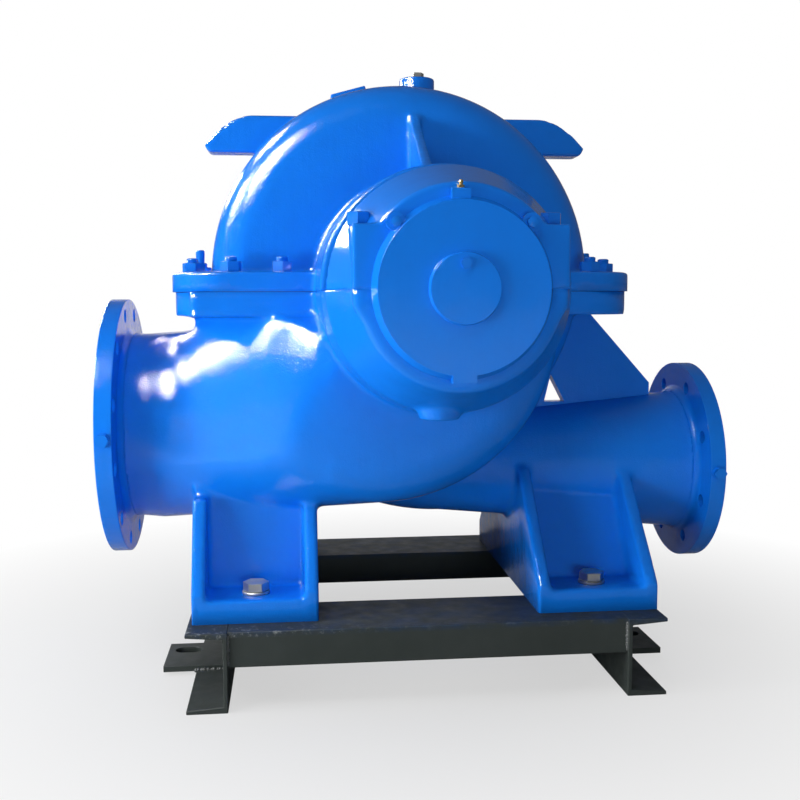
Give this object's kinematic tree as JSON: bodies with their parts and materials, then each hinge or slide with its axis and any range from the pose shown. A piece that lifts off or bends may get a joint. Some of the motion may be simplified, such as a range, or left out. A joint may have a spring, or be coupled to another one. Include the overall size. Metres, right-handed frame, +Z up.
{
  "type": "horizontal split case double-suction pump",
  "caption": "Horizontal split case double-suction centrifugal pump, flanged suction and discharge in line, bare drive shaft, bolted to a welded channel base frame.",
  "frame": {"origin": "on the floor under the middle of the bounding box", "axes": "+X from suction to discharge along the pipes, +Y along the shaft to the drive end, +Z up"},
  "size_m": [1.055, 1.193, 1.0355],
  "materials": {
    "blue_enamel": "gloss",
    "gasket": "matte",
    "bright_steel": "satin",
    "brass": "satin",
    "frame_paint": "satin"
  },
  "bodies": {
    "root": {"lower_casing": "blue_enamel", "suction_nozzle": "blue_enamel", "discharge_nozzle": "blue_enamel", "discharge_web": "blue_enamel", "suction_foot": "blue_enamel", "discharge_foot": "blue_enamel", "front_bearing_bracket": "blue_enamel", "rear_bearing_bracket": "blue_enamel", "upper_casing": "blue_enamel", "front_cover_plug": "blue_enamel", "front_bearing_cap": "blue_enamel", "rear_bearing_cap": "blue_enamel", "front_bearing_cover": "blue_enamel", "rear_bearing_cover": "blue_enamel", "front_gland": "blue_enamel", "rear_gland": "blue_enamel", "suction_gauge_plug": "blue_enamel", "discharge_gauge_plug": "blue_enamel", "casing_gasket": "gasket", "front_shaft_sleeve": "bright_steel", "rear_shaft_sleeve": "bright_steel", "pump_shaft": "bright_steel", "vent_plug": "bright_steel", "front_grease_nipple": "brass", "rear_grease_nipple": "brass", "front_beam": "frame_paint", "rear_beam": "frame_paint", "left_cross_channel": "frame_paint", "right_cross_channel": "frame_paint", "left_anchor_tab": "frame_paint", "right_anchor_tab": "frame_paint"}
  },
  "joints": []
}
